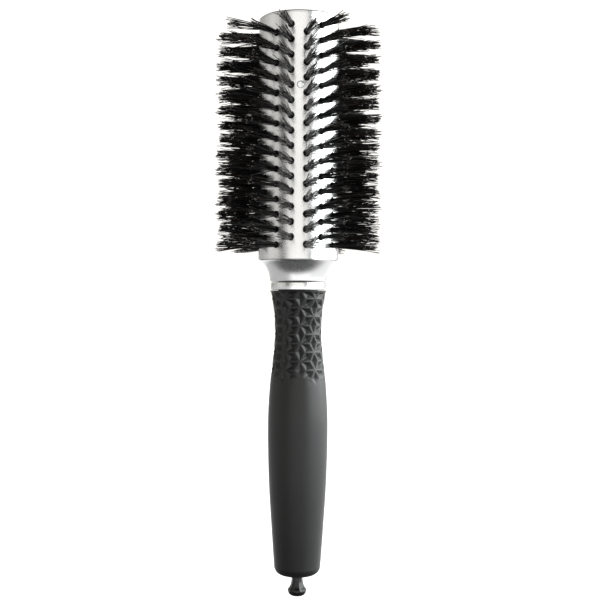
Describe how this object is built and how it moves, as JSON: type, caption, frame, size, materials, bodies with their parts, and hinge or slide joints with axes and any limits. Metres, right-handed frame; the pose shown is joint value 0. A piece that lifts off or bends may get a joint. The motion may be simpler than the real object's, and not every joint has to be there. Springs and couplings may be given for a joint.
{
  "type": "round barrel hair brush",
  "caption": "Round hair brush with a perforated aluminium barrel, radial bristle tufts, a flared ferrule, a waisted soft grip and a pull-out sectioning pick in its tail.",
  "frame": {"origin": "lowest point of the pick's knob, on the brush's axis", "axes": "+Z along the brush's axis from the tail to the barrel's tip, -Y towards the front, midway between two columns of tufts, +X to the right"},
  "size_m": [0.0706, 0.0706, 0.252],
  "materials": {
    "barrel_metal": "satin",
    "ferrule_metal": "satin",
    "core_plastic": "matte",
    "bristle": "satin",
    "grip_rubber": "matte",
    "knob_plastic": "gloss",
    "pin_steel": "polished",
    "ring_rubber": "matte"
  },
  "bodies": {
    "brush": {"barrel_sleeve": "barrel_metal", "barrel_core": "core_plastic", "bristle_row_01": "bristle", "bristle_row_02": "bristle", "bristle_row_03": "bristle", "bristle_row_04": "bristle", "bristle_row_05": "bristle", "bristle_row_06": "bristle", "bristle_row_07": "bristle", "bristle_row_08": "bristle", "bristle_row_09": "bristle", "bristle_row_10": "bristle", "bristle_row_11": "bristle", "bristle_row_12": "bristle", "bristle_row_13": "bristle", "bristle_row_14": "bristle", "bristle_row_15": "bristle", "bristle_row_16": "bristle", "barrel_pin": "pin_steel", "tip_cap": "barrel_metal", "ferrule": "ferrule_metal", "ferrule_band": "ferrule_metal", "grip_sleeve": "grip_rubber", "handle_core": "core_plastic", "pick_bush": "core_plastic"},
    "pick": {"pick_knob": "knob_plastic", "pick_shaft": "pin_steel", "pick_ring": "ring_rubber"}
  },
  "joints": [
    {"name": "pick_slide", "type": "slide", "parent": "brush", "child": "pick", "axis": [0, 0, -1], "range_m": [0, 0.08]}
  ]
}
